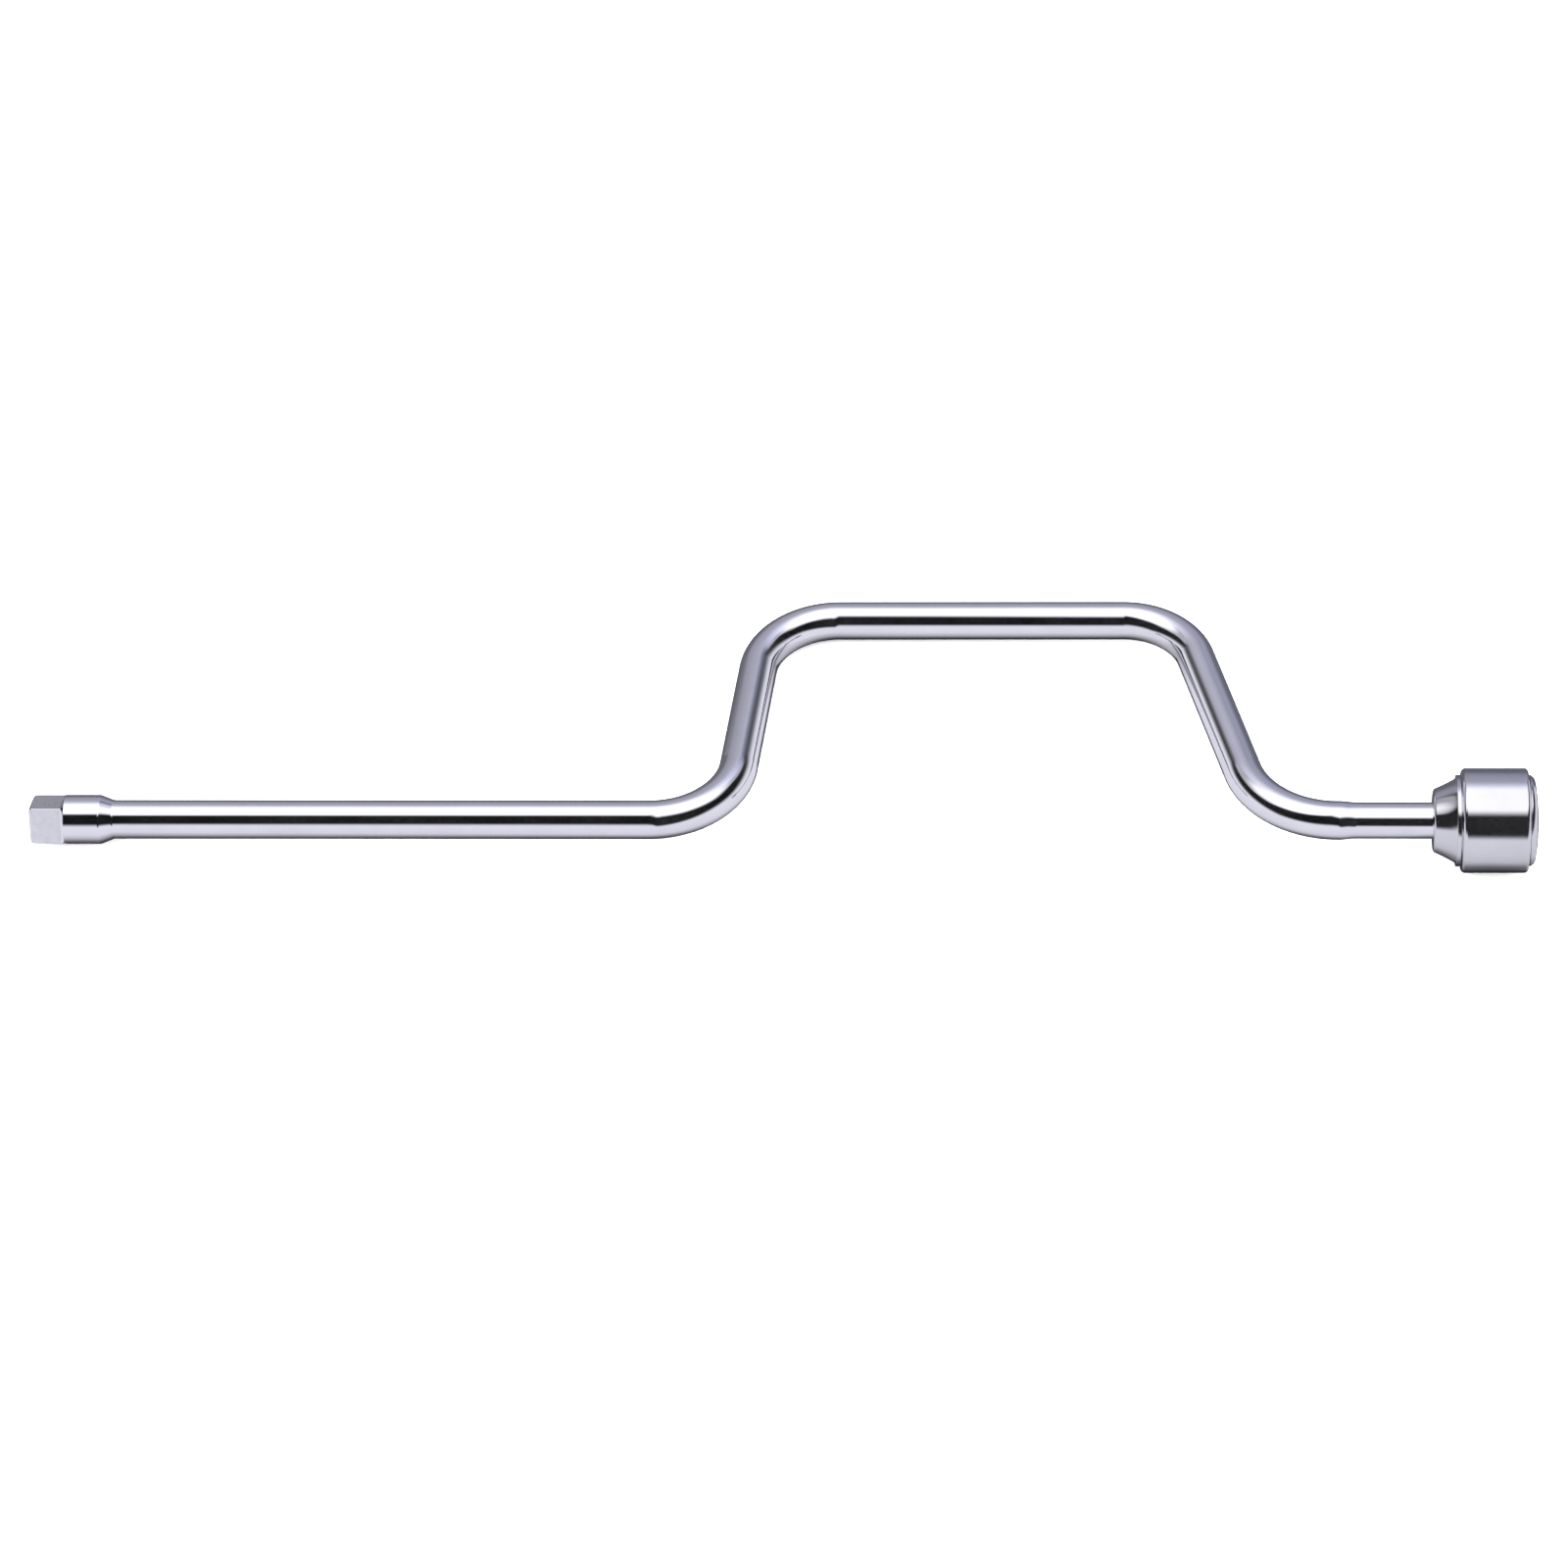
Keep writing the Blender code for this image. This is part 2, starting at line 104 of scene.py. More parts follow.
# %% Sizes of the bar in metres, as the frame has them
fit_gap = 0.0003
square_side = 0.0127
square_length = 0.0119
corner_radius = 0.0178 / 2
tip_round = 0.0016
corner_taper_length = 0.0008
collar_radius = 0.0167 / 2
collar_length = 0.0115
neck_length = 0.0046
shaft_radius = 0.0132 / 2
stub_radius = 0.0124 / 2
stub_taper_length = 0.006
shaft_length = 0.2367
grip_length = 0.1439
stub_length = 0.0567
crank_throw = 0.1016
left_turn = pi / 2 - radians(5.3)
right_turn = pi / 2 - radians(14.7)
shaft_bend, left_grip_bend, right_grip_bend, stub_bend = 0.0295, 0.0278, 0.0258, 0.0326
print("throw of the crank in mm", round(1000 * crank_throw, 1))

# %% Sizes of the knob
knob_length = 0.035
knob_radius = 0.0352 / 2
ferrule_mouth_length = 0.0032
cone_length = 0.0076
cone_end_radius = 0.0286 / 2
flange_radius = 0.0308 / 2
flange_thickness = 0.0015
cap_lip_radius = 0.0308 / 2
cap_lip_thickness = 0.0029
cap_face_radius = 0.01 / 2
print("knob in mm", round(1000 * knob_length, 1), "long and", round(2000 * knob_radius, 1), "across")

# %% Places along the tool that follow
neck_end = square_length + collar_length + neck_length
left_leg = crank_throw / sin(left_turn)
right_leg = crank_throw / sin(right_turn)
legs_along = crank_throw / tan(left_turn) + crank_throw / tan(right_turn)
knob_front = shaft_length + grip_length + stub_length + legs_along
knob_end = knob_front + knob_length
shoulder_at = knob_front + ferrule_mouth_length
palm_at = (Vector(mounts["palm_face"]["pos_m"]) - tip_place).dot(tool_axis)
print("knob end in mm", round(1000 * knob_end, 2), "and in the frame", round(1000 * palm_at, 2))

# %% [markdown]
# The operators work on whatever is selected, and the frame arrives selected. So every piece starts from a
# clean selection, and edges or faces are then chosen by where they are. These small helpers do that. Each
# piece is drawn at the origin, and laid down at the end with its place baked into its mesh. Some operators
# number what they make in an order that changes from run to run, and a boolean then cuts up flat faces
# another way each time. So the clean-up also puts everything in the order of its place.

# %% Helpers for editing
merge_distance = 0.000002
near = 0.00002
sharp_angle = radians(32)


def start_piece(name):
    """Name the newest primitive, bake its turn and open it for editing."""
    piece = bpy.context.object
    piece.name = name
    piece.data.name = name
    bpy.ops.object.transform_apply(location=True, rotation=True, scale=True)
    bpy.ops.object.mode_set(mode="EDIT")
    return piece


def select_only(kind, test):
    """Select the verts, edges or faces whose verts all pass the test on their place."""
    bpy.ops.mesh.select_mode(type=kind)
    bpy.ops.mesh.select_all(action="DESELECT")
    bm = bmesh.from_edit_mesh(bpy.context.object.data)
    items = {"VERT": bm.verts, "EDGE": bm.edges, "FACE": bm.faces}[kind]
    count = 0
    for item in items:
        verts = [item] if kind == "VERT" else item.verts
        if all(test(vert.co) for vert in verts):
            item.select_set(True)
            count += 1
    bm.select_flush_mode()
    bmesh.update_edit_mesh(bpy.context.object.data)
    return count


def middle_of(item):
    """The middle of a vertex, edge or face, as plain numbers that can be compared."""
    verts = [item] if isinstance(item, bmesh.types.BMVert) else item.verts
    return tuple(sum((vert.co for vert in verts), Vector()) / len(verts))


def clean_up():
    """Join what meets, turn every face outwards, and put everything in the order of its place."""
    bpy.ops.mesh.select_mode(type="VERT")
    bpy.ops.mesh.select_all(action="SELECT")
    bpy.ops.mesh.remove_doubles(threshold=merge_distance)
    bpy.ops.mesh.normals_make_consistent(inside=False)
    bm = bmesh.from_edit_mesh(bpy.context.object.data)
    for items in (bm.verts, bm.edges, bm.faces):
        ranks = {item: rank for rank, item in enumerate(sorted(items, key=middle_of))}
        items.sort(key=ranks.get)
    bmesh.update_edit_mesh(bpy.context.object.data)
    bpy.ops.object.mode_set(mode="OBJECT")


def apply_modifier(piece, kind, **settings):
    """Add one modifier, set it and apply it at once."""
    modifier = piece.modifiers.new(kind.lower(), kind)
    for key, value in settings.items():
        setattr(modifier, key, value)
    bpy.context.view_layer.objects.active = piece
    bpy.ops.object.modifier_apply(modifier=modifier.name)


def polish(piece):
    """Smooth shading where the surface is round, with true normals on the large faces."""
    bpy.ops.object.select_all(action="DESELECT")
    piece.select_set(True)
    bpy.context.view_layer.objects.active = piece
    bpy.ops.object.shade_smooth_by_angle(angle=sharp_angle)
    apply_modifier(piece, "WEIGHTED_NORMAL", mode="FACE_AREA", keep_sharp=True)


def put_in_place(piece, matrix):
    """Move a finished piece by a matrix and bake that into its mesh."""
    bpy.ops.object.select_all(action="DESELECT")
    piece.select_set(True)
    bpy.context.view_layer.objects.active = piece
    piece.matrix_world = matrix
    bpy.ops.object.transform_apply(location=True, rotation=True, scale=True)
    print(piece.name, len(piece.data.polygons), "faces")


# %% [markdown]
# The bar is one length of round steel. A lathe and a bender make the real one, and the same two moves make
# this one: the open end of a tube is drawn straight on with extrude, or swung round a bend with spin. The
# end remembers its centre, heading and radius, so each stretch starts where the last one stopped. It also
# notes each place that it passes, with the length drawn so far, for the pattern of the finish later on.

# %% Drawing out a round bar
end = {}
route = []


def note_place():
    """Keep the length drawn so far, the end's centre and its heading."""
    route.append((end["drawn"], *end["centre"], *end["heading"]))


def start_bar(name, along, radius, sides, filled):
    """Begin with one ring across the tool's axis."""
    bpy.ops.object.select_all(action="DESELECT")
    fill = "NGON" if filled else "NOTHING"
    bpy.ops.mesh.primitive_circle_add(
        vertices=sides, radius=radius, fill_type=fill, location=(along, 0, 0), rotation=(0, pi / 2, 0)
    )
    piece = start_piece(name)
    bpy.ops.mesh.select_all(action="SELECT")
    end.update(centre=Vector((along, 0, 0)), heading=Vector((1, 0, 0)), radius=radius, drawn=0)
    route.clear()
    note_place()
    return piece


def draw(distance, radius):
    """Extrude the end straight on and give it a new radius."""
    move = end["heading"] * distance
    bpy.ops.mesh.extrude_region_move(TRANSFORM_OT_translate={"value": move})
    end["centre"] = end["centre"] + move
    end["drawn"] += distance
    note_place()
    size = radius / end["radius"]
    bpy.ops.transform.resize(value=(size, size, size), center_override=end["centre"])
    end["radius"] = radius


def draw_to(along, radius):
    """Extrude to a place along the tool's axis, for turned shapes."""
    draw(along - end["centre"].x, radius)


def round_out(reach):
    """Draw on by a quarter round that swells the end by its reach."""
    first = end["radius"]
    for step in range(round_steps):
        before, after = pi / 2 * step / round_steps, pi / 2 * (step + 1) / round_steps
        draw(reach * (cos(before) - cos(after)), first + reach * sin(after))


def blend_to(distance, radius, ease):
    """Draw a cone to a new radius; ease is the share of its length that is rounded into each neighbour."""
    first = end["radius"]
    for step in range(1, blend_steps + 1):
        share = step / blend_steps
        if share < ease:
            done = share**2 / (2 * ease * (1 - ease))
        elif share > 1 - ease:
            done = 1 - (1 - share) ** 2 / (2 * ease * (1 - ease))
        else:
            done = (share - ease / 2) / (1 - ease)
        draw(distance / blend_steps, first + (radius - first) * done)


def bend(bend_radius, turn):
    """Spin the end round a bend in the crank's plane; a positive turn is towards the crank's side."""
    side = 1 if turn > 0 else -1
    to_left = Vector((-end["heading"].y, end["heading"].x, 0))
    pivot = end["centre"] + to_left * bend_radius * side
    bpy.ops.mesh.spin(steps=bend_steps, angle=-turn, center=pivot, axis=(0, 0, 1))
    turned_by = Matrix.Rotation(turn / bend_steps, 3, "Z")
    for _ in range(bend_steps):
        end["centre"] = pivot + turned_by @ (end["centre"] - pivot)
        end["heading"] = turned_by @ end["heading"]
        end["drawn"] += bend_radius * abs(turn) / bend_steps
        note_place()


# %% The bar, from the drive's tip to the journal inside the knob
bar_sides = 96
bend_steps = 44
blend_steps = 16
round_steps = 8
neck_ease = 0.13
neck_run_on = 0.0006
stub_ease = 0.4
journal_radius = 0.010 / 2
groove_radius = 0.008 / 2
ball_pocket_radius = 0.0028
ball_pocket_depth = 0.0015
groove_from_shoulder = 0.0212
groove_width = 0.0018
end_land_length = 0.0018


def bend_run(radius, turn):
    """How far a bend reaches along each of the two straight lines that it joins."""
    return radius * tan(turn / 2)


bar = start_bar("crank_bar_fine", 0, corner_radius - tip_round, bar_sides, True)
round_out(tip_round)
draw_to(square_length - corner_taper_length, corner_radius)
draw_to(square_length, collar_radius)
draw(collar_length, collar_radius)
blend_to(neck_length + neck_run_on, shaft_radius, neck_ease)
draw(shaft_length - bend_run(shaft_bend, left_turn) - neck_end - neck_run_on, shaft_radius)
bend(shaft_bend, left_turn)
draw(left_leg - bend_run(shaft_bend, left_turn) - bend_run(left_grip_bend, left_turn), shaft_radius)
bend(left_grip_bend, -left_turn)
draw(grip_length - bend_run(left_grip_bend, left_turn) - bend_run(right_grip_bend, right_turn), shaft_radius)
bend(right_grip_bend, -right_turn)
draw(right_leg - bend_run(right_grip_bend, right_turn) - bend_run(stub_bend, right_turn), shaft_radius)
bend(stub_bend, right_turn)
blend_to(stub_taper_length, stub_radius, stub_ease)
draw_to(shoulder_at, stub_radius)
draw(0, journal_radius)
draw(groove_from_shoulder, journal_radius)
draw(0, groove_radius)
draw(groove_width, groove_radius)
draw(0, journal_radius)
draw(end_land_length, journal_radius)
draw(0, ball_pocket_radius)
draw(-ball_pocket_depth, ball_pocket_radius)
stations = np.array(route)
bar_end = end["centre"].x + ball_pocket_depth
print("end of the bar", tuple(round(1000 * value, 2) for value in end["centre"]), "mm")
clean_up()

# %% [markdown]
# The square is milled out of the round stock: a cutter takes off four sides and leaves nearly sharp corners.
# A milling cutter is round too, so each flat runs out in a small hollow where it meets the collar. Here the
# cutter is a block with a square hole, made by an inset on both ends and a bridge between them. Its rim at
# the collar is bevelled, and that bevel leaves the hollow when the block is subtracted.

# %% Cut the four flats
cut_overrun = 0.002
run_out_round = 0.0011
run_out_steps = 8
tip_edge_break = 0.0007
flat_from_axis = square_side / 2
cutter_reach = corner_radius + cut_overrun


def cut_away(piece, cutter):
    """Subtract one solid from a piece and throw the cutter away."""
    apply_modifier(piece, "BOOLEAN", operation="DIFFERENCE", solver="EXACT", object=cutter)
    bpy.data.objects.remove(cutter, do_unlink=True)


bpy.ops.object.select_all(action="DESELECT")
bpy.ops.mesh.primitive_cube_add(size=1, location=((square_length - cut_overrun) / 2, 0, 0))
bpy.context.object.scale = (square_length + cut_overrun, 2 * cutter_reach, 2 * cutter_reach)
mill = start_piece("mill")
front_half = flat_from_axis - cut_overrun - tip_edge_break
select_only("FACE", lambda place: abs(place.x - square_length) < near)
bpy.ops.mesh.inset(thickness=cutter_reach - flat_from_axis)
select_only("FACE", lambda place: abs(place.x + cut_overrun) < near)
bpy.ops.mesh.inset(thickness=cutter_reach - front_half)
select_only("FACE", lambda place: max(abs(place.y), abs(place.z)) < flat_from_axis + near)
bpy.ops.mesh.bridge_edge_loops(number_cuts=1)
select_only("VERT", lambda place: -near < place.x < square_length - near)
middle_half = (front_half + flat_from_axis) / 2
middle_at = (square_length - cut_overrun) / 2
bpy.ops.transform.translate(value=(tip_edge_break - middle_at, 0, 0))
widen = flat_from_axis / middle_half
bpy.ops.transform.resize(value=(1, widen, widen), center_override=(0, 0, 0))
select_only(
    "EDGE",
    lambda place: place.x > square_length - near and max(abs(place.y), abs(place.z)) < flat_from_axis + near,
)
bpy.ops.mesh.bevel(offset=run_out_round, segments=run_out_steps, affect="EDGES")
clean_up()
put_in_place(mill, Matrix.Rotation(-square_turn, 4, "X"))
cut_away(bar, mill)

# %% [markdown]
# A sprung ball in one flat holds the socket. It sits in a blind hole whose mouth is a little narrower than
# the ball, because the edge of the hole is staked over it. The hole is turned with the same drawing moves.

# %% Drill the hole for the ball and its spring
detent_from_tip = 0.006
ball_radius = 0.005 / 2
ball_stands_out = 0.0009
hole_mouth_radius = 0.0047 / 2
hole_radius = ball_radius + fit_gap
hole_lip = 0.0003
hole_depth = 0.0094
hole_sides = 64
flat_direction = Vector((0, cos(square_turn), -sin(square_turn)))
hole_mouth = Vector((detent_from_tip, 0, 0)) + flat_direction * flat_from_axis

drill = start_bar("drill", -cut_overrun, hole_mouth_radius, hole_sides, True)
draw_to(hole_lip, hole_mouth_radius)
draw(0, hole_radius)
draw_to(hole_depth, hole_radius)
clean_up()
facing_in = Vector((1, 0, 0)).rotation_difference(-flat_direction).to_matrix().to_4x4()
put_in_place(drill, Matrix.Translation(hole_mouth) @ facing_in)
cut_away(bar, drill)

# %% [markdown]
# The mill leaves the square's long corners crisp. The mouth of the ball's hole is broken with a small
# bevel, as if it had been staked and polished.

# %% Break the edge of the hole's mouth
mouth_edge_break = 0.00012
break_steps = 3


def on_hole_mouth(place):
    """True round the mouth of the ball's hole."""
    from_mouth = place - hole_mouth
    height = from_mouth.dot(flat_direction)
    out = (from_mouth - flat_direction * height).length
    return abs(height) < near and abs(out - hole_mouth_radius) < near


bpy.context.view_layer.objects.active = bar
bpy.ops.object.mode_set(mode="EDIT")
mouth_edges = select_only("EDGE", on_hole_mouth)
bpy.ops.mesh.bevel(offset=mouth_edge_break, segments=break_steps, affect="EDGES")
print("edges round the mouth", mouth_edges)
clean_up()
polish(bar)

# %% [markdown]
# Plating follows the bar round its bends, and so do the marks of drawing and polishing. An attribute gives
# every vertex its place on the bar as if the bar were straight again: how far along, and where across. The
# material can then lay its fine lines on that, and they turn with the metal.

# %% Remember where each vertex lies along the bar
places = np.empty(len(bar.data.vertices) * 3)
bar.data.vertices.foreach_get("co", places)
places = places.reshape(-1, 3)


def straightened(points):
    """Each point's distance along the bar, and its two distances across."""
    made = np.empty_like(points)
    for row, point in enumerate(points):
        off = point - stations[:, 1:4]
        ahead = np.einsum("ij,ij->i", off, stations[:, 4:7])
        across = np.linalg.norm(off - ahead[:, None] * stations[:, 4:7], axis=1)
        reach = np.where(across < 2 * collar_radius, np.abs(ahead), np.inf)
        best = np.argmin(reach)
        heading = stations[best, 4:7]
        left = off[best, 1] * heading[0] - off[best, 0] * heading[1]
        made[row] = stations[best, 0] + ahead[best], left, off[best, 2]
    return made


along_bar = bar.data.attributes.new("along_bar", "FLOAT_VECTOR", "POINT")
along_bar.data.foreach_set("vector", straightened(places).ravel())
print("bar measured along its centre line in mm", round(1000 * stations[:, 0].max(), 1))

# %% [markdown]
# The knob's outer pieces are turned. Each is drawn as rings along the axis: out along the front face, back
# over the outside, and home through the bore, where the last ring meets the first. Where the real profile
# is a curve, the rings follow a formula. The sharp corners are bevelled afterwards, as with a file.

# %% Helpers for turned pieces
knob_sides = 160
curve_steps = 14


def turn_ring(name, stops):
    """Draw a closed hollow section from its list of (distance along the tool, radius) stops."""
    first_along, first_radius = stops[0]
    piece = start_bar(name, first_along, first_radius, knob_sides, False)
    for along, radius in stops[1:]:
        draw_to(along, radius)
    draw_to(first_along, first_radius)
    clean_up()
    return piece


def quarter_round(centre_along, centre_radius, radius, start, stop, steps=curve_steps):
    """Stops on an arc of a profile, its angle counted from +X towards the outside."""
    angles = [start + (stop - start) * step / steps for step in range(steps + 1)]
    return [(centre_along + radius * cos(angle), centre_radius + radius * sin(angle)) for angle in angles]


def flowing(first, first_slope, last, last_slope, steps=curve_steps):
    """Stops on a smooth curve between two points of a profile, with its slope given at both."""
    made = []
    span = last[0] - first[0]
    for step in range(1, steps + 1):
        t = step / steps
        rise = (
            (2 * t**3 - 3 * t**2 + 1) * first[1]
            + (t**3 - 2 * t**2 + t) * span * first_slope
            + (3 * t**2 - 2 * t**3) * last[1]
            + (t**3 - t**2) * span * last_slope
        )
        made.append((first[0] + span * t, rise))
    return made


def break_rings(piece, rings, width, steps=break_steps):
    """Bevel the sharp rings of a turned piece, each given by its place along the tool and its radius."""
    bpy.context.view_layer.objects.active = piece
    bpy.ops.object.mode_set(mode="EDIT")
    for along, radius in rings:

        def on_ring(place, along=along, radius=radius):
            return abs(place.x - along) < near and abs(hypot(place.y, place.z) - radius) < near

        select_only("EDGE", on_ring)
        bpy.ops.mesh.bevel(offset=width, segments=steps, affect="EDGES")
    clean_up()


# %% [markdown]
# The ferrule is the knob's nose. Its front is rounded over into a cone that flares a little towards a thin
# flange. Behind the flange a spigot goes into the shell, and the front bush sits in its bore.

# %% The front ferrule
nose_round = 0.0013
nose_round_centre = 0.00964
cone_start_slope = 0.45
cone_end_slope = 0.62
ferrule_mouth = stub_radius + fit_gap
bush_wall = 0.0022
bush_seat_radius = journal_radius + fit_gap + bush_wall + fit_gap
spigot_radius = 0.025 / 2
spigot_length = 0.0065
flange_front = knob_front + cone_length
flange_back = flange_front + flange_thickness
spigot_end = flange_back + spigot_length
cone_begins = pi / 2 + atan(cone_start_slope)

ferrule_stops = [(knob_front, ferrule_mouth)]
ferrule_stops += quarter_round(knob_front + nose_round, nose_round_centre, nose_round, pi, cone_begins)
ferrule_stops += flowing(ferrule_stops[-1], cone_start_slope, (flange_front, cone_end_radius), cone_end_slope)
ferrule_stops += [(flange_front, flange_radius), (flange_back, flange_radius), (flange_back, spigot_radius)]
ferrule_stops += [(spigot_end, spigot_radius), (spigot_end, bush_seat_radius)]
ferrule_stops += [(shoulder_at, bush_seat_radius), (shoulder_at, ferrule_mouth)]
ferrule = turn_ring("front_ferrule_fine", ferrule_stops)
flange_break = 0.00022
flange_break_steps = 5
spigot_break = 0.0003
flange_rings = [(flange_front, flange_radius), (flange_back, flange_radius)]
break_rings(ferrule, flange_rings, flange_break, flange_break_steps)
break_rings(ferrule, [(knob_front, ferrule_mouth), (spigot_end, spigot_radius)], spigot_break)
polish(ferrule)
put_in_place(ferrule, lay_down)

# %% [markdown]
# The shell is a turned ring with a web inside. The web carries the rear bush, and the hollows on its two
# sides take the ferrule's spigot and the cap's skirt. Its outer edges are rounded. A bevel could do that
# too, but arcs in the profile keep their true radius.

# %% The shell
shell_front = flange_back + fit_gap
shell_front_round = 0.0014
shell_rear_round = 0.0012
web_thickness = 0.0072
web_front = spigot_end + fit_gap
web_back = web_front + web_thickness
cap_front = knob_end - cap_lip_thickness
shell_back = cap_front - fit_gap
skirt_radius = 0.026 / 2
front_bore = spigot_radius + fit_gap
rear_bore = skirt_radius + fit_gap

shell_stops = [(shell_front, front_bore)]
shell_stops += quarter_round(
    shell_front + shell_front_round, knob_radius - shell_front_round, shell_front_round, pi, pi / 2
)
shell_stops += quarter_round(
    shell_back - shell_rear_round, knob_radius - shell_rear_round, shell_rear_round, pi / 2, 0
)
shell_stops += [(shell_back, rear_bore), (web_back, rear_bore)]
shell_stops += [(web_back, bush_seat_radius), (web_front, bush_seat_radius), (web_front, front_bore)]
shell = turn_ring("knob_shell_fine", shell_stops)
polish(shell)
put_in_place(shell, lay_down)

# %% [markdown]
# The cap is pressed from sheet: a skirt that goes into the shell, a rounded lip that overlaps its end, and a
# crowned face for the palm. A shallow pocket on the inside holds the disc that the thrust ball runs on.

# %% The end cap
thrust_ball_size = 0.005
thrust_seat_radius = 0.008 / 2
thrust_seat_thickness = 0.001
pocket_radius = thrust_seat_radius + fit_gap
seat_front = bar_end - ball_pocket_depth + fit_gap + thrust_ball_size + fit_gap
seat_pocket_bottom = seat_front + thrust_seat_thickness + fit_gap
skirt_wall = 0.0018
skirt_length = 0.0043
skirt_front = cap_front - skirt_length
lip_round = 0.00235
lip_round_starts = radians(84)
lip_round_stops = radians(11)
lip_centre = cap_front - lip_round * cos(lip_round_starts)
lip_centre_radius = cap_lip_radius - lip_round * sin(lip_round_starts)

cap_stops = [(cap_front, pocket_radius), (cap_front, skirt_radius - skirt_wall)]
cap_stops += [(skirt_front, skirt_radius - skirt_wall), (skirt_front, skirt_radius)]
cap_stops += [(cap_front, skirt_radius)]
cap_stops += quarter_round(lip_centre, lip_centre_radius, lip_round, lip_round_starts, lip_round_stops)


def crown(rim_at, rim_radius):
    """Stops from the lip's round to the flat middle, easing into both."""
    made = []
    for step in range(1, curve_steps + 1):
        t = step / curve_steps
        along = knob_end - (knob_end - rim_at) * (1 - t) ** 2
        made.append((along, rim_radius + (cap_face_radius - rim_radius) * t))
    return made


cap_stops += crown(*cap_stops[-1])
cap = start_bar("end_cap_fine", *cap_stops[0], knob_sides, False)
for along, radius in cap_stops[1:]:
    draw_to(along, radius)
bpy.ops.mesh.edge_face_add()


def on_pocket_rim(place):
    """True on the rim from which the pocket is drawn."""
    return abs(place.x - cap_front) < near and hypot(place.y, place.z) < pocket_radius + near


select_only("EDGE", on_pocket_rim)
end.update(centre=Vector((cap_front, 0, 0)), radius=pocket_radius)
draw_to(seat_pocket_bottom, pocket_radius)
bpy.ops.mesh.edge_face_add()
clean_up()
lip_break = 0.0002
break_rings(cap, [(cap_front, cap_lip_radius)], lip_break)
polish(cap)
put_in_place(cap, lay_down)

# %% [markdown]
# A bearing ball has no poles. A sphere primitive does, and they show as pinches in a polished surface, so
# the ball starts as a cube, is divided finely and is then pushed out to a sphere.

# %% The detent ball
ball_cuts = 15
bpy.ops.object.select_all(action="DESELECT")
bpy.ops.mesh.primitive_cube_add(size=2 * ball_radius)
ball = start_piece("detent_ball_fine")
bpy.ops.mesh.select_all(action="SELECT")
bpy.ops.mesh.subdivide(number_cuts=ball_cuts)
bpy.ops.transform.tosphere(value=1)
ball_reach = max(vert.co.length for vert in bmesh.from_edit_mesh(ball.data).verts)
bpy.ops.transform.resize(value=[ball_radius / ball_reach] * 3, center_override=(0, 0, 0))
clean_up()
polish(ball)
ball_place = hole_mouth + flat_direction * (ball_stands_out - ball_radius)
put_in_place(ball, lay_down @ Matrix.Translation(ball_place))
put_in_place(bar, lay_down)

# %% [markdown]
# Under the ball a coil spring fills the blind hole. Such a coil is wound from wire on a mandrel. Here one
# ring of wire is swept round the hole's axis by a screw modifier, from a seat round the ball to the bottom.
# Both cut ends of the wire are then closed.

# %% The spring under the ball
wire_radius = 0.0006 / 2
wire_sides = 12
coil_radius = 0.004 / 2
coil_turns = 4
steps_per_turn = 32
seat_reach = ball_radius + wire_radius + fit_gap
coil_top = ball_radius - ball_stands_out + (seat_reach**2 - coil_radius**2) ** 0.5
coil_bottom = hole_depth - wire_radius - fit_gap

bpy.ops.object.select_all(action="DESELECT")
bpy.ops.mesh.primitive_circle_add(
    vertices=wire_sides, radius=wire_radius, location=(coil_top, coil_radius, 0)
)
spring = start_piece("detent_spring_fine")
bpy.ops.object.mode_set(mode="OBJECT")
coil = {"screw_offset": (coil_bottom - coil_top) / coil_turns, "iterations": coil_turns, "axis": "X"}
apply_modifier(spring, "SCREW", steps=steps_per_turn, render_steps=steps_per_turn, **coil)
bpy.ops.object.mode_set(mode="EDIT")
for end_at in (coil_top, coil_bottom):

    def on_cut_end(place, end_at=end_at):
        """True on the ring where the wire is cut off."""
        return hypot(place.x - end_at, place.y - coil_radius) < wire_radius + near and abs(place.z) < near

    print("edges at a cut end", select_only("EDGE", on_cut_end))
    bpy.ops.mesh.edge_face_add()
clean_up()
polish(spring)
into_hole = lay_down @ Matrix.Translation(hole_mouth) @ facing_in
put_in_place(spring, into_hole)

# %% [markdown]
# Every piece now joins the body that it moves with, and the plain solid that it stands for is hidden. The
# solids stay in the simulation.

# %% Ride on the frame
for piece, node, body, slot in (
    (bar, "crank_bar", "bar", "bar_chrome"),
    (ball, "detent_ball", "detent", "bearing_steel"),
    (spring, "detent_spring", "bar", "spring_steel"),
    (ferrule, "front_ferrule", "knob", "ferrule_chrome"),
    (shell, "knob_shell", "knob", "knob_chrome"),
    (cap, "end_cap", "knob", "cap_chrome"),
):
    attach(piece, body)
    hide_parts(node)
    low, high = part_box(node)
    corners = np.array([vert.co for vert in piece.data.vertices])
    print(piece.name, "reaches past its solid by at most", end=" ")
    print(round(1000 * max(max(low - Vector(corners.min(0))), max(Vector(corners.max(0)) - high)), 3), "mm")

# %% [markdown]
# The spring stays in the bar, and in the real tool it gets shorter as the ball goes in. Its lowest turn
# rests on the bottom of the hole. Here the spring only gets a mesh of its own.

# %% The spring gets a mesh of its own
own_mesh(spring)

# %% [markdown]
# Chrome has almost no colour of its own. What reads as chrome is what it mirrors, and how faintly that
# mirror is disturbed: the plate follows slow waves left by drawing and polishing, carries hair lines from
# the polishing wheel, and is a little duller where it has been handled. Each of these is one noise with its
# own scale, and all of them are weak.

# %% Helpers for materials
tool_turn = lay_down.to_euler()
noise_low, noise_high = 0.3, 0.7


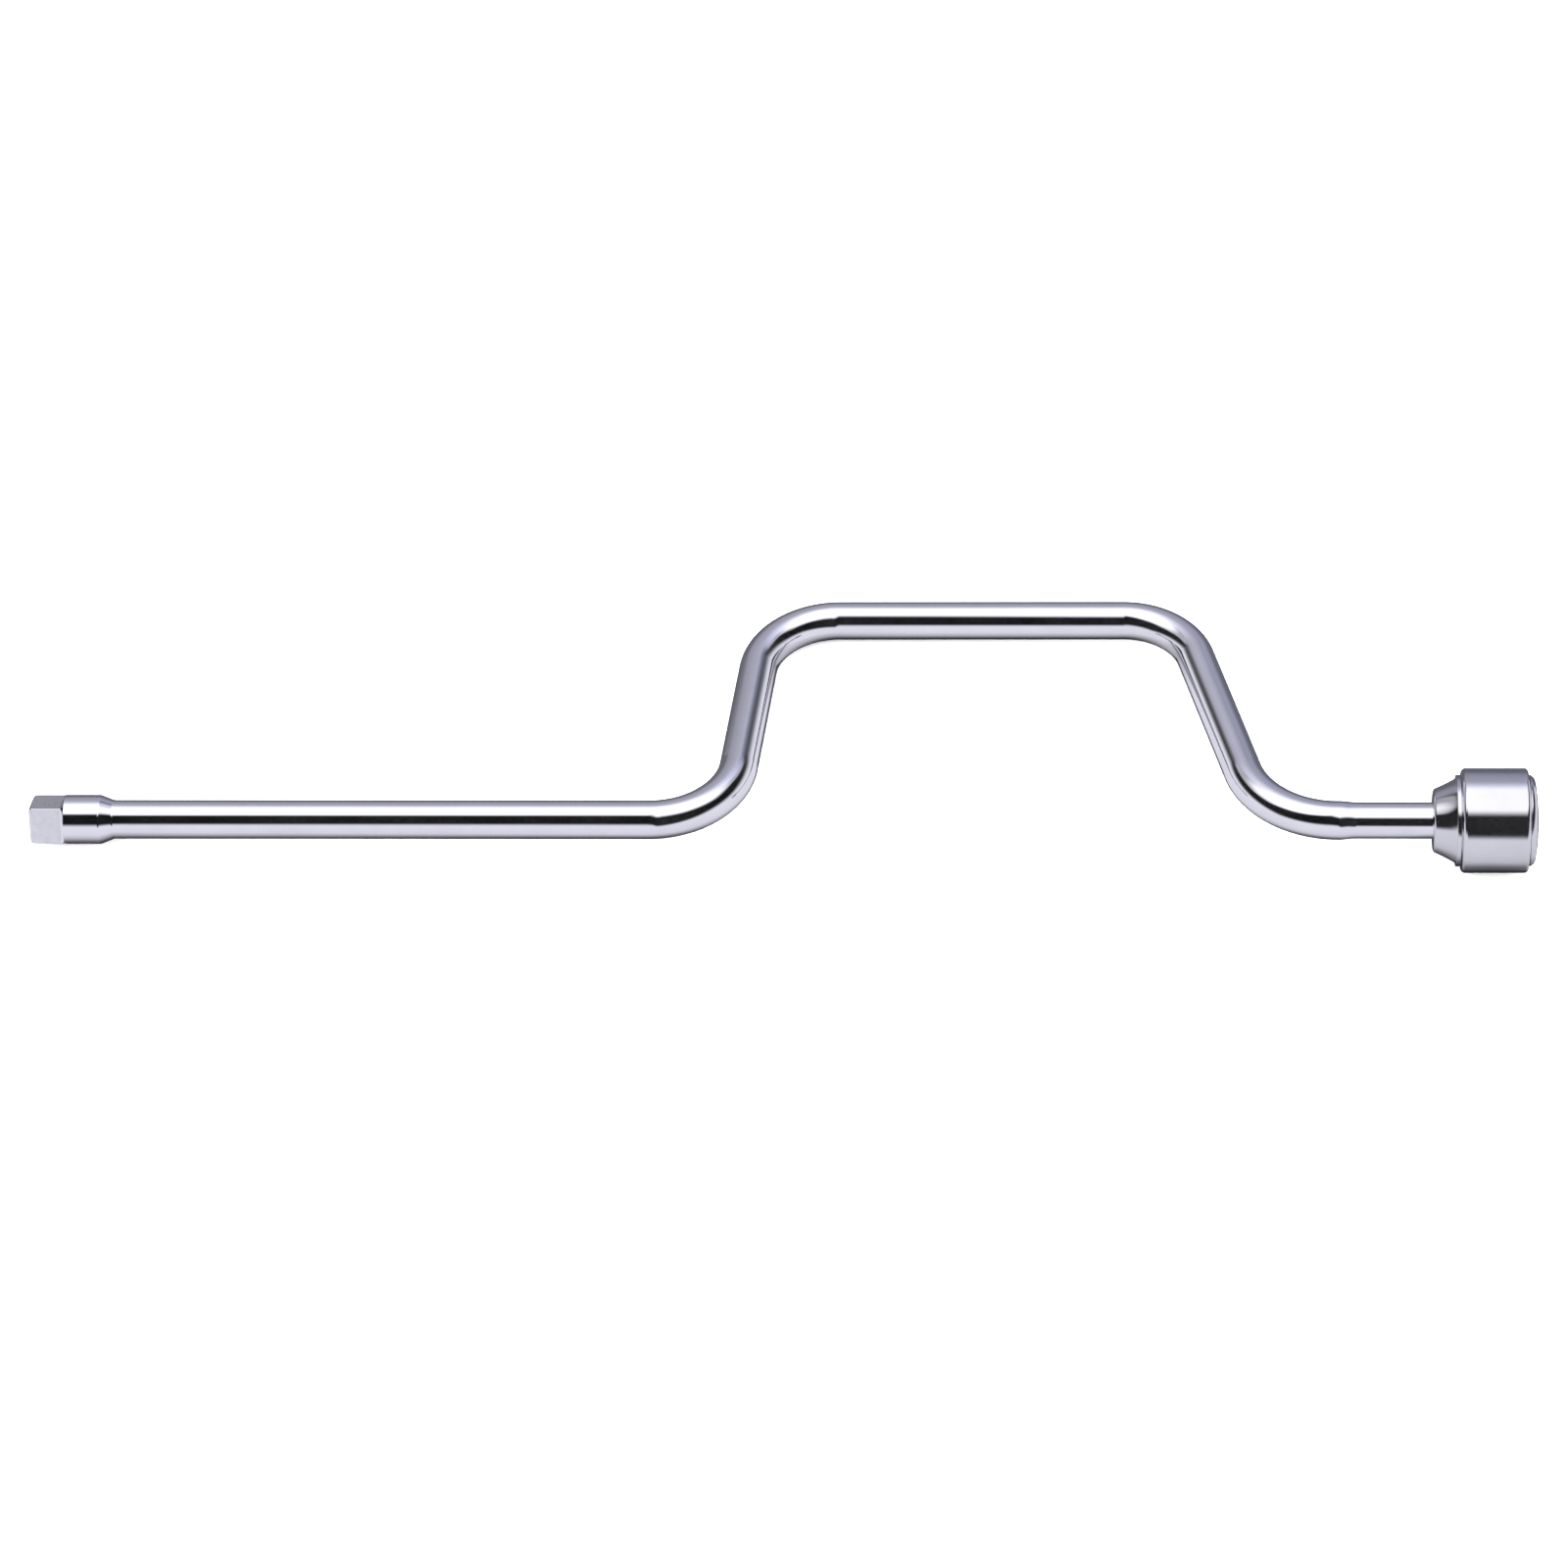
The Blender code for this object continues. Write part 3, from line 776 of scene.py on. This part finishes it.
def feed(tree, socket, value):
    """Link a socket to the output of another node, or set it to a plain value."""
    if isinstance(value, bpy.types.NodeSocket):
        tree.links.new(value, socket)
    else:
        socket.default_value = value


class Finish:
    """A metal finish under construction: its node tree and its shader."""

    def __init__(self, name):
        self.material = bpy.data.materials.new(name)
        self.material.use_nodes = True
        self.tree = self.material.node_tree
        self.shader = self.tree.nodes["Principled BSDF"]
        self.shader.inputs["Metallic"].default_value = 1
        self.height = None

    def add(self, kind, **inputs):
        """Add a node and set its inputs, each to a value or to the output of another node."""
        node = self.tree.nodes.new("ShaderNode" + kind)
        for key, value in inputs.items():
            self.set(node.inputs[key.replace("_", " ")], value)
        return node

    def set(self, socket, value):
        """Link an output to a socket, or set the socket."""
        feed(self.tree, socket, value)

    def tool_frame(self, stretch=(1, 1, 1)):
        """Coordinates in the tool's own frame, from the object coordinates, stretched along its axes."""
        place = self.add("TexCoord").outputs["Object"]
        turned = self.add("Mapping", Vector=place)
        turned.vector_type = "TEXTURE"
        turned.inputs["Location"].default_value = tip_place
        turned.inputs["Rotation"].default_value = tool_turn
        return self.stretched(turned.outputs["Vector"], stretch)

    def bar_frame(self, stretch=(1, 1, 1)):
        """Coordinates that follow the bar round its bends."""
        place = self.add("Attribute")
        place.attribute_name = "along_bar"
        return self.stretched(place.outputs["Vector"], stretch)

    def stretched(self, vector, stretch):
        """Scale coordinates, so that a texture is drawn out along an axis with a small factor."""
        return self.add("Mapping", Vector=vector, Scale=stretch).outputs["Vector"]

    def noise(self, vector, scale, detail=2, roughness=0.5):
        """Soft noise; scale counts features per metre."""
        made = self.add("TexNoise", Vector=vector, Scale=scale, Detail=detail, Roughness=roughness)
        return made.outputs["Fac"]

    def spread(self, value, low, high):
        """Map a noise, which is mostly between noise_low and noise_high, onto a range of values."""
        made = self.add("MapRange", Value=value, From_Min=noise_low, From_Max=noise_high)
        made.inputs["To Min"].default_value = low
        made.inputs["To Max"].default_value = high
        return made.outputs["Result"]

    def tint(self, value, dark, light):
        """Colour the surface between two close colours."""
        made = self.add("ValToRGB", Fac=value)
        made.color_ramp.elements[0].position = noise_low
        made.color_ramp.elements[1].position = noise_high
        made.color_ramp.elements[0].color = (*dark, 1)
        made.color_ramp.elements[1].color = (*light, 1)
        self.set(self.shader.inputs["Base Color"], made.outputs["Color"])

    def wear(self, coordinates, pattern, shades, gloss):
        """Let colour and roughness follow one noise, and return that noise."""
        worn = self.noise(coordinates, **pattern)
        self.tint(worn, *shades)
        self.set(self.shader.inputs["Roughness"], self.spread(worn, *gloss))
        return worn

    def bump(self, height, depth):
        """Add relief of a given depth in metres on top of what is there."""
        made = self.add("Bump", Height=height, Distance=depth)
        if self.height is not None:
            self.set(made.inputs["Normal"], self.height)
        self.height = made.outputs["Normal"]
        self.set(self.shader.inputs["Normal"], self.height)


# %% Bright chrome plate
bar_shades = (0.71, 0.705, 0.77), (0.76, 0.755, 0.82)
knob_shades = (0.60, 0.595, 0.65), (0.66, 0.655, 0.71)
bar_gloss = 0.07, 0.035
knob_gloss = 0.09, 0.055
handling = {"scale": 55, "detail": 4, "roughness": 0.6}
slow_waves = {"scale": 70, "detail": 1}
hair_lines = {"scale": 2600, "detail": 2}
bar_wave_depth, knob_wave_depth, ferrule_wave_depth = 0.000010, 0.000006, 0.000004
bar_line_depth, knob_line_depth = 0.0000002, 0.0000003


def bright_chrome(name, frame_of, lines, shades, gloss, wave_depth, line_depth):
    """Polished chrome plate. frame_of gives its coordinates, lines the stretch of its polishing marks."""
    finish = Finish(name)
    coordinates = frame_of(finish)
    finish.wear(coordinates, handling, shades, gloss)
    finish.bump(finish.noise(coordinates, **slow_waves), wave_depth)
    finish.bump(finish.noise(frame_of(finish, lines), **hair_lines), line_depth)
    return finish.material


along_lines = (0.02, 1, 1)
around_lines = (1, 0.03, 0.03)
bar_way = Finish.bar_frame, along_lines, bar_shades, bar_gloss
knob_way = Finish.tool_frame, around_lines, knob_shades, knob_gloss
bar_chrome = bright_chrome("bar_chrome_plate", *bar_way, bar_wave_depth, bar_line_depth)
knob_chrome = bright_chrome("knob_chrome_plate", *knob_way, knob_wave_depth, knob_line_depth)
ferrule_chrome = bright_chrome("ferrule_chrome_plate", *knob_way, ferrule_wave_depth, knob_line_depth)
cap_chrome = bright_chrome("cap_chrome_plate", *knob_way, knob_wave_depth, knob_line_depth)
print("plated", [made.name for made in (bar_chrome, knob_chrome, ferrule_chrome, cap_chrome)])

# %% [markdown]
# The flats are milled and not polished, and the plate over them stays satin. It is the same chrome with a
# rougher surface: a mottled colour, and fine marks that run along the cutter's path.

# %% Satin chrome on the milled flats
milled_shades = (0.60, 0.595, 0.66), (0.68, 0.675, 0.74)
milled_gloss = 0.34, 0.26
mottle = {"scale": 420, "detail": 5, "roughness": 0.65}
mill_marks = {"scale": 3800, "detail": 3}
mill_lines = (0.08, 1, 1)
mill_mark_depth = 0.0000025

milled = Finish("milled_chrome_plate")
milled.wear(milled.tool_frame(), mottle, milled_shades, milled_gloss)
milled.bump(milled.noise(milled.tool_frame(mill_lines), **mill_marks), mill_mark_depth)
milled_chrome = milled.material
print("satin plate", milled_chrome.name)

# %% [markdown]
# The pieces inside are bare metal: ground steel, polished balls, spring steel that is dark with oil, and
# porous bronze. They show only when the knob is taken apart, but each gets its own finish from one noise.

# %% Steel and bronze for the inner pieces
ground_shades = (0.50, 0.50, 0.51), (0.62, 0.62, 0.63)
ball_shades = (0.55, 0.54, 0.53), (0.66, 0.66, 0.67)
spring_shades = (0.10, 0.10, 0.11), (0.22, 0.21, 0.21)
bronze_shades = (0.42, 0.26, 0.12), (0.64, 0.43, 0.22)
ground_gloss, ball_gloss, spring_gloss, bronze_gloss = (0.16, 0.24), (0.05, 0.12), (0.25, 0.42), (0.45, 0.28)
grinding = {"scale": 500, "detail": 4, "roughness": 0.6}
film = {"scale": 700, "detail": 3, "roughness": 0.5}
oil = {"scale": 900, "detail": 4, "roughness": 0.6}
pores = {"scale": 1500, "detail": 5, "roughness": 0.7}
grinding_marks = {"scale": 3000, "detail": 2}
grinding_depth = 0.0000008
pore_depth = 0.000004

ground_steel = Finish("ground_steel")
ground_steel.wear(ground_steel.tool_frame(), grinding, ground_shades, ground_gloss)
ground_steel.bump(ground_steel.noise(ground_steel.tool_frame(around_lines), **grinding_marks), grinding_depth)
ball_steel = Finish("ball_steel")
ball_steel.wear(ball_steel.tool_frame(), film, ball_shades, ball_gloss)
oiled_spring = Finish("oiled_spring_steel")
oiled_spring.wear(oiled_spring.tool_frame(), oil, spring_shades, spring_gloss)
bearing_bronze = Finish("bearing_bronze")
pitted = bearing_bronze.wear(bearing_bronze.tool_frame(), pores, bronze_shades, bronze_gloss)
bearing_bronze.bump(pitted, pore_depth)
bare_metals = ground_steel, ball_steel, oiled_spring, bearing_bronze
print("bare metals", [made.material.name for made in bare_metals])

# %% [markdown]
# A new piece has no material slot yet, and a solid of the frame has a plain one. Both are cleared and given
# their finish.

# %% Put the finishes on
for piece, material in (
    (bar, bar_chrome),
    (shell, knob_chrome),
    (ferrule, ferrule_chrome),
    (cap, cap_chrome),
    (ball, ball_steel.material),
    (spring, oiled_spring.material),
):
    piece.data.materials.clear()
    piece.data.materials.append(material)
    print(piece.name, "gets", material.name)
for node, finish in (
    ("retaining_clip", oiled_spring),
    ("retaining_washer", ground_steel),
    ("thrust_ball", ball_steel),
    ("thrust_seat", ground_steel),
    ("front_bush", bearing_bronze),
    ("rear_bush", bearing_bronze),
):
    solid = frame["nodes"][node]
    solid.data.materials.clear()
    solid.data.materials.append(finish.material)
    print(node, "gets", finish.material.name)

# %% [markdown]
# The square is one piece with the bar, so its flats take a second material slot. They are found by their
# directions: those of the four flats and of the drive's tip.

# %% The flats get the satin finish
flat_tilt = 0.999
bar.data.materials.append(milled_chrome)
flat_normals = [detent_normal, -detent_normal, top_normal, -top_normal, -tool_axis]
bpy.ops.object.select_all(action="DESELECT")
bar.select_set(True)
bpy.context.view_layer.objects.active = bar
bpy.ops.object.mode_set(mode="EDIT")
bpy.ops.mesh.select_mode(type="FACE")
bpy.ops.mesh.select_all(action="DESELECT")
shape = bmesh.from_edit_mesh(bar.data)
for face in shape.faces:
    along = (face.calc_center_median() - tip_place).dot(tool_axis)
    if along < square_length - near and any(face.normal.dot(normal) > flat_tilt for normal in flat_normals):
        face.select_set(True)
bmesh.update_edit_mesh(bar.data)
bar.active_material_index = 1
bpy.ops.object.material_slot_assign()
bpy.ops.object.mode_set(mode="OBJECT")
print("satin faces", sum(polygon.material_index == 1 for polygon in bar.data.polygons))

# %% [markdown]
# The photograph was taken in a plain white studio from in front and above. Its camera is placed by its
# distance from a point near the tool's middle and by three angles, as on a tripod. The lens is long, so the
# tool hardly narrows with distance.

# %% The camera
camera_aim = Vector((-0.0007, 0, -0.017158))
camera_azimuth = radians(-3.0)
camera_elevation = radians(46.70)
camera_roll = radians(-1.39)
camera_distance = 2.12
lens_mm = 140.71
sensor_mm = 36

look = Vector((sin(camera_azimuth) * cos(camera_elevation), cos(camera_azimuth) * cos(camera_elevation), 0))
look.z = -sin(camera_elevation)
level = Vector((cos(camera_azimuth), -sin(camera_azimuth), 0))
above = level.cross(look)
right = level * cos(camera_roll) + above * sin(camera_roll)
upward = above * cos(camera_roll) - level * sin(camera_roll)
bpy.ops.object.camera_add()
camera = bpy.context.object
camera.name = "studio_camera"
camera.data.lens = lens_mm
camera.data.sensor_width = sensor_mm
camera.matrix_world = Matrix((right, upward, -look)).transposed().to_4x4()
camera.matrix_world.translation = camera_aim - look * camera_distance
bpy.context.scene.camera = camera
print("camera at", tuple(round(value, 3) for value in camera.matrix_world.translation))

# %% [markdown]
# Chrome shows its whole room, so the room is designed in angles. Overhead hangs one broad white box. In
# front, behind the camera, a band of darkness lies between it and the pale table, and makes the black line
# that draws the shape of the tool. Behind the tool the room is a dim bluish grey that fades downwards.
# Straight down, and most in front, the room turns dark: that is painted shade of the table under the tool.
# Only mirrored rays see these bands. The floor and the background get even white light.

# %% The room's brightness: height above the horizon in degrees, then the level
front_levels = (
    # Painted shade: the steps below -50 degrees darken the table straight under the tool.
    (-90, 0.15),
    (-75, 0.35),
    (-65, 0.62),
    (-50, 0.82),
    (-34, 0.90),
    (-20, 0.93),
    (6, 0.97),
    (20, 0.60),
    (50, 0.50),
    (90, 0.90),
)
back_levels = (
    (-90, 0.080),
    (-50, 0.150),
    (-20, 0.180),
    (-8, 0.185),
    (0, 0.215),
    (6, 0.300),
    (13, 0.390),
    (20, 0.430),
    (30, 0.480),
    (38, 0.540),
    (42, 0.640),
    (46, 0.800),
    (52, 0.920),
    (90, 0.950),
)
print("steps of brightness", len(front_levels), "in front and", len(back_levels), "behind")
front_tint = (1.00, 1.00, 1.055, 1)
back_tint = (0.955, 0.96, 1.10, 1)
knob_back_tint = (0.93, 0.96, 1.17, 1)
back_begins = 0.70
back_whole = 0.81
knob_side_begins = 0.045
knob_side_whole = 0.062

# %% The edges over the way round, in degrees from the front, to the knob's side if positive
edge_rows = (
    (-180, 30, 40, 55, 0),
    (-147, 24, 34, 56, 0),
    (-138, 22, 34, 54, 0.6),
    (-128, 16, 30, 50, 0.93),
    (-115, 13, 33, 45, 0.97),
    (-97, 11, 35, 42, 0.98),
    (-75, 9, 40, 46, 0.98),
    (-52, 7, 58, 56, 0.98),
    (-30, 14, 76, 68, 0.99),
    (-12, 18, 84, 74, 0.99),
    (-8, 19, 84, 73, 0.99),
    (-5, 19, 84, 71, 0.99),
    (-2.2, 18, 84, 68.5, 0.99),
    (0, 16, 84, 66.5, 0.99),
    (2.4, 11.5, 80, 64, 0.985),
    (3.7, 7, 78, 62.5, 0.975),
    (7, 6, 78, 62, 0.97),
    (11, 7, 78, 64, 0.97),
    (30, 12, 74, 64, 0.98),
    (60, 18, 66, 60, 0.99),
    (90, 18, 60, 52, 0.99),
    (115, 20, 48, 52, 0.97),
    (130, 20, 38, 54, 0.93),
    (139, 22, 35, 55, 0.88),
    (146, 24, 37, 56, 0.83),
    (155, 27, 39, 56, 0.6),
    (164, 31, 42, 56, 0.3),
    (172, 30, 40, 55, 0),
    (180, 30, 40, 55, 0),
)
low_softness = 8
high_softness = 4
white_softness = 9
print("rows of edges", len(edge_rows))

# %% [markdown]
# The world is a few nodes: the direction of a mirrored ray gives its height above the horizon and the way
# round. Two ramps hold the room's brightness over the height, for the front and for the back. Another
# holds, over the way round, the dark band's lower and upper edge, its darkness, and where white begins.

# %% Write the world's nodes
white_level = 1.55
plain_level = 4.0
studio = bpy.data.worlds.new("studio")
bpy.context.scene.world = studio
studio.use_nodes = True
studio.node_tree.nodes.clear()


def studio_node(kind, **inputs):
    """Add a node to the world and set or link its inputs, by name or as _0, _1 by their order."""
    made = studio.node_tree.nodes.new("ShaderNode" + kind)
    for key, value in inputs.items():
        socket = made.inputs[int(key[1:])] if key[0] == "_" else made.inputs[key.replace("_", " ")]
        feed(studio.node_tree, socket, value)
    return made


def calculate(operation, *values):
    """One step of arithmetic."""
    made = studio_node("Math", **{"_" + str(place): value for place, value in enumerate(values)})
    made.operation = operation
    return made.outputs["Value"]


def ramp_over(value, stops):
    """A colour ramp from its list of (place from 0 to 1, colour and alpha)."""
    made = studio_node("ValToRGB", Fac=value)
    elements = made.color_ramp.elements
    while len(elements) < len(stops):
        elements.new(1)
    for element, (place, color) in zip(elements, stops):
        element.position = place
        element.color = color
    return made


def rise(value, low, high):
    """A soft step from 0 to 1."""
    made = studio_node("MapRange", Value=value, From_Min=low, From_Max=high)
    made.interpolation_type = "SMOOTHSTEP"
    return made.outputs["Result"]


def blend_colors(share, first, second):
    """Mix two colours by a share."""
    made = studio.node_tree.nodes.new("ShaderNodeMix")
    made.data_type = "RGBA"
    for key, value in (("Factor", share), ("A", first), ("B", second)):
        feed(studio.node_tree, made.inputs[key], value)
    return made.outputs["Result"]


def share_of_height(degrees):
    """The place of a height on the ramps, 0 straight down and 1 straight up."""
    return (degrees + 90) / 180


def rise_at(edge, softness):
    """A soft step over the height at an edge, its softness in degrees to either side."""
    reach = softness / 180
    return rise(height, calculate("SUBTRACT", edge, reach), calculate("ADD", edge, reach))


# %% The direction of a ray: its height and its way round
direction = studio_node("SeparateXYZ", Vector=studio_node("TexCoord").outputs["Generated"])
side_part, back_part = direction.outputs["X"], direction.outputs["Y"]
height = calculate("ADD", calculate("DIVIDE", calculate("ARCSINE", direction.outputs["Z"]), pi), 0.5)
turned = calculate("ARCTAN2", side_part, calculate("MULTIPLY", back_part, -1.0))
way_round = calculate("ADD", calculate("DIVIDE", turned, 2 * pi), 0.5)
towards_back = calculate("MULTIPLY", calculate("COSINE", turned), -1.0)

# %% The room that the chrome mirrors


def tinted_room(levels, tint):
    """Grey levels over the height, times a tint."""
    stops = [(share_of_height(degrees), (level, level, level, 1)) for degrees, level in levels]
    made = studio_node("VectorMath", _0=ramp_over(height, stops).outputs["Color"], _1=tint)
    made.operation = "MULTIPLY"
    return made.outputs["Vector"]


knob_side = rise(side_part, knob_side_begins, knob_side_whole)
back_room = tinted_room(back_levels, blend_colors(knob_side, back_tint, knob_back_tint))
is_back = rise(towards_back, back_begins, back_whole)
room = blend_colors(is_back, tinted_room(front_levels, front_tint[:3]), back_room)

edge_stops = []
for degrees, low, high, white, darkness in edge_rows:
    channels = share_of_height(low), share_of_height(high), darkness, share_of_height(white)
    edge_stops.append((degrees / 360 + 0.5, channels))
edges = ramp_over(way_round, edge_stops)
edge_color = studio_node("SeparateColor", Color=edges.outputs["Color"])
above_low = rise_at(edge_color.outputs["Red"], low_softness)
above_high = rise_at(edge_color.outputs["Green"], high_softness)
in_band = calculate("MULTIPLY", above_low, calculate("SUBTRACT", 1.0, above_high))
dark = calculate("MULTIPLY", in_band, edge_color.outputs["Blue"])
room = blend_colors(dark, room, (0, 0, 0, 1))
in_white = rise_at(edges.outputs["Alpha"], white_softness)
room = blend_colors(in_white, room, (white_level, white_level, white_level, 1))

mirrored = studio_node("Background", Color=room)
plain = studio_node("Background", Color=(1, 1, 1, 1), Strength=plain_level)
is_mirrored = studio_node("LightPath").outputs["Is Glossy Ray"]
by_ray = studio_node(
    "MixShader", _0=is_mirrored, _1=plain.outputs["Background"], _2=mirrored.outputs["Background"]
)
studio_node("OutputWorld", Surface=by_ray.outputs["Shader"])
print("nodes in the world", len(studio.node_tree.nodes))

# %% [markdown]
# The floor is plain white paper. Mirrored rays would see all of it lit alike, so for them it is a clear sheet
# with painted shade: it darkens the room's pale table where the tool stands close over it and hides the room.
# That paints a dark contact shadow under the square, the collar and the knob.

# %% The floor
floor_size = 12
floor_gap = 0.0001
paper_white = 0.9
painted_shadow_reach = 0.015
bpy.ops.object.select_all(action="DESELECT")
bpy.ops.mesh.primitive_plane_add(size=floor_size, location=(0, 0, cad_low.z - floor_gap))
floor = bpy.context.object
floor.name = "studio_floor"
floor_paint = Finish("white_floor")
floor_paint.shader.inputs["Metallic"].default_value = 0
floor_paint.shader.inputs["Base Color"].default_value = (paper_white, paper_white, paper_white, 1)
floor_paint.shader.inputs["Roughness"].default_value = 1
floor_paint.shader.inputs["Specular IOR Level"].default_value = 0
# Painted shade: mirrored rays see the room through the sheet, darkened by how much the tool hides it nearby.
painted_contact_shadow = floor_paint.add("AmbientOcclusion", Distance=painted_shadow_reach)
clear = floor_paint.add("BsdfTransparent", Color=painted_contact_shadow.outputs["Color"])
paper = floor_paint.add("MixShader", Fac=floor_paint.add("LightPath").outputs["Is Glossy Ray"])
floor_paint.set(paper.inputs[1], floor_paint.shader.outputs["BSDF"])
floor_paint.set(paper.inputs[2], clear.outputs["BSDF"])
floor_paint.set(floor_paint.tree.nodes["Material Output"].inputs["Surface"], paper.outputs["Shader"])
floor.data.materials.append(floor_paint.material)
print("floor", round(1000 * floor_gap, 2), "mm under the tool")

# %% [markdown]
# The last cell sets the view transform and prints the frame's box.

# %% Print the frame's box
bpy.context.scene.view_settings.view_transform = "Standard"
print("frame box", tuple(cad_low), tuple(cad_high))
